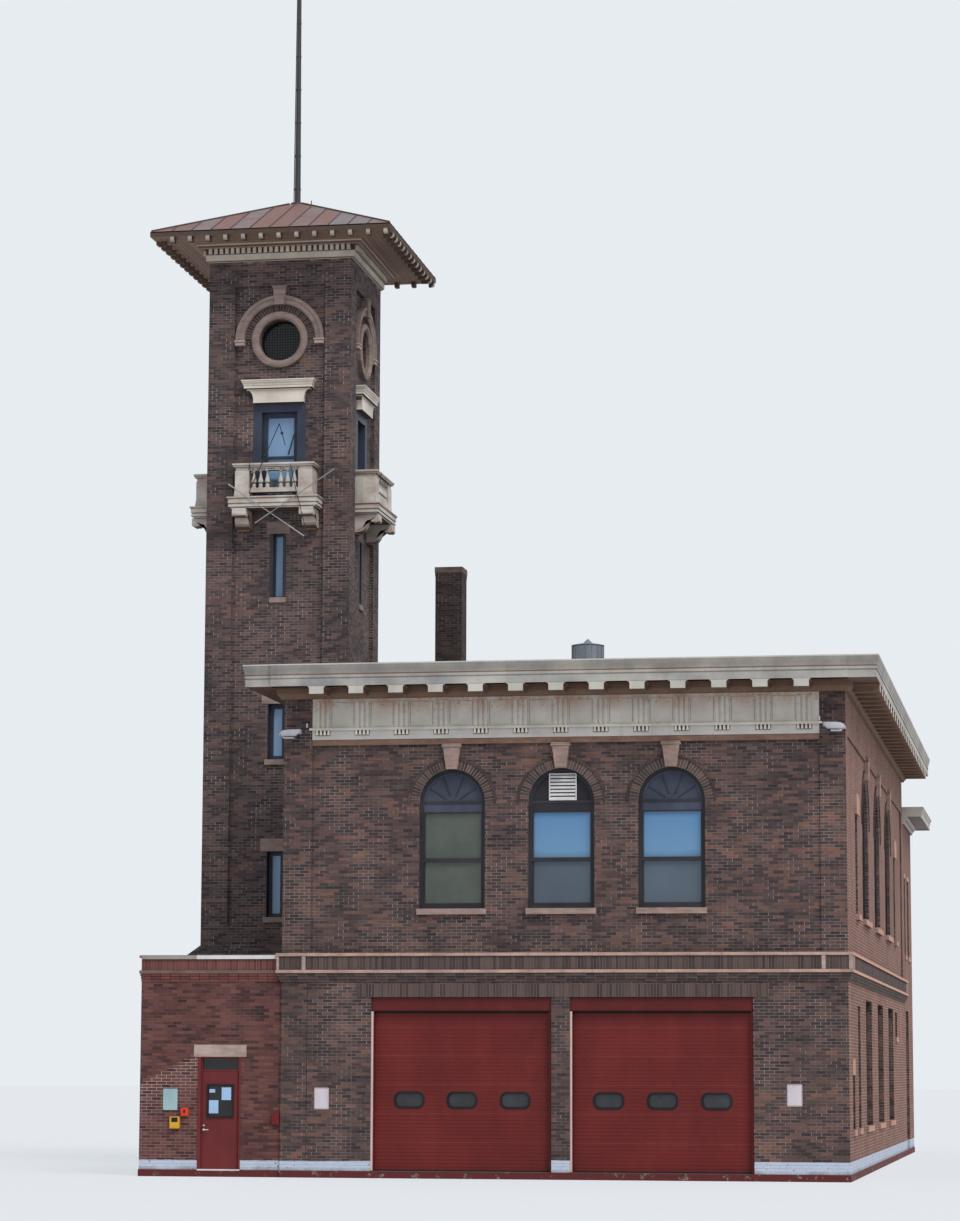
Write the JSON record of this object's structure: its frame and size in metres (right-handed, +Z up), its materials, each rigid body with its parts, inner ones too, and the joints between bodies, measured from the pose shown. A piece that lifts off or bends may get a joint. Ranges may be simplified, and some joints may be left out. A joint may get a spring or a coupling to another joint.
{
  "type": "fire station building",
  "caption": "Two-storey brick fire station with a tall corner tower, a one-storey annex, arched windows and two wide vehicle doors; the man door of the annex swings.",
  "frame": {"origin": "foot of the street front, on the middle of the main block's width, at the lowest ground level", "axes": "+Z up, +X to the right along the street front, +Y back into the building"},
  "size_m": [17.685, 29.282, 30.5],
  "materials": {
    "brick": "dark red-brown brick in pale mortar",
    "annex_brick": "maroon brick in pale mortar",
    "concrete": "painted concrete, dark red edge",
    "floor": "trowelled concrete",
    "sandstone": "dressed pinkish sandstone",
    "cream_paint": "cream painted sheet metal with rust",
    "roof_felt": "grey roofing membrane",
    "slate_paint": "dark slate-blue painted timber",
    "glass": "window glass",
    "barn_red": "barn-red painted steel",
    "door_trim": "red painted boards and trim",
    "coping_metal": "white metal flashing",
    "roof_metal": "weathered standing-seam sheet",
    "soffit_wood": "weathered brown boards",
    "galvanised": "galvanised sheet",
    "mast_metal": "dark weathered steel",
    "fittings": "grey painted housings",
    "sign_white": "bare white plates",
    "handle_steel": "brushed steel"
  },
  "bodies": {
    "building": {"foundation": "concrete", "front_piers": "brick", "front_lintel_wall": "brick", "front_wall_upper": "brick", "right_wall": "brick", "left_wall": "brick", "main_rear_wall": "brick", "rear_side_walls": "brick", "rear_back_wall": "brick", "upper_floors": "floor", "roof_decks": "roof_felt", "belt_course": "sandstone", "main_cornice": "cream_paint", "cornice_modillions": "cream_paint", "frieze": "cream_paint", "front_stone_trim": "sandstone", "side_stone_trim": "sandstone", "front_window_frames": "slate_paint", "side_window_frames": "slate_paint", "window_glass": "glass", "garage_door_frames": "door_trim", "garage_doors": "barn_red", "garage_door_glass": "glass", "rear_cornice": "cream_paint", "rear_door": "door_trim", "annex_front_piers": "annex_brick", "annex_wall_over_door": "annex_brick", "annex_lintel": "sandstone", "annex_left_wall": "annex_brick", "annex_roof": "roof_felt", "annex_coping": "coping_metal", "man_door_frame": "door_trim", "man_door_transom": "glass", "tower_base": "brick", "tower_front_wall": "brick", "tower_back_wall": "brick", "tower_side_walls": "brick", "tower_stone_trim": "sandstone", "tower_window_frames": "slate_paint", "tower_glass": "glass", "tower_floor": "floor", "balconies": "cream_paint", "tower_cornice": "cream_paint", "tower_roof": "roof_metal", "tower_rafters": "soffit_wood", "mast": "mast_metal", "chimney": "brick", "roof_vent": "galvanised", "floodlights": "fittings", "sign_plates": "sign_white", "wall_boxes": "fittings"},
    "man_door": {"man_door_leaf": "door_trim", "man_door_glass": "glass", "man_door_handle": "handle_steel"}
  },
  "joints": [
    {"name": "man_door_hinge", "type": "hinge", "parent": "building", "child": "man_door", "pos_m": [-7.055, 0.088, 1.2], "axis": [0, 0, 1], "range_deg": [0, 90]}
  ]
}
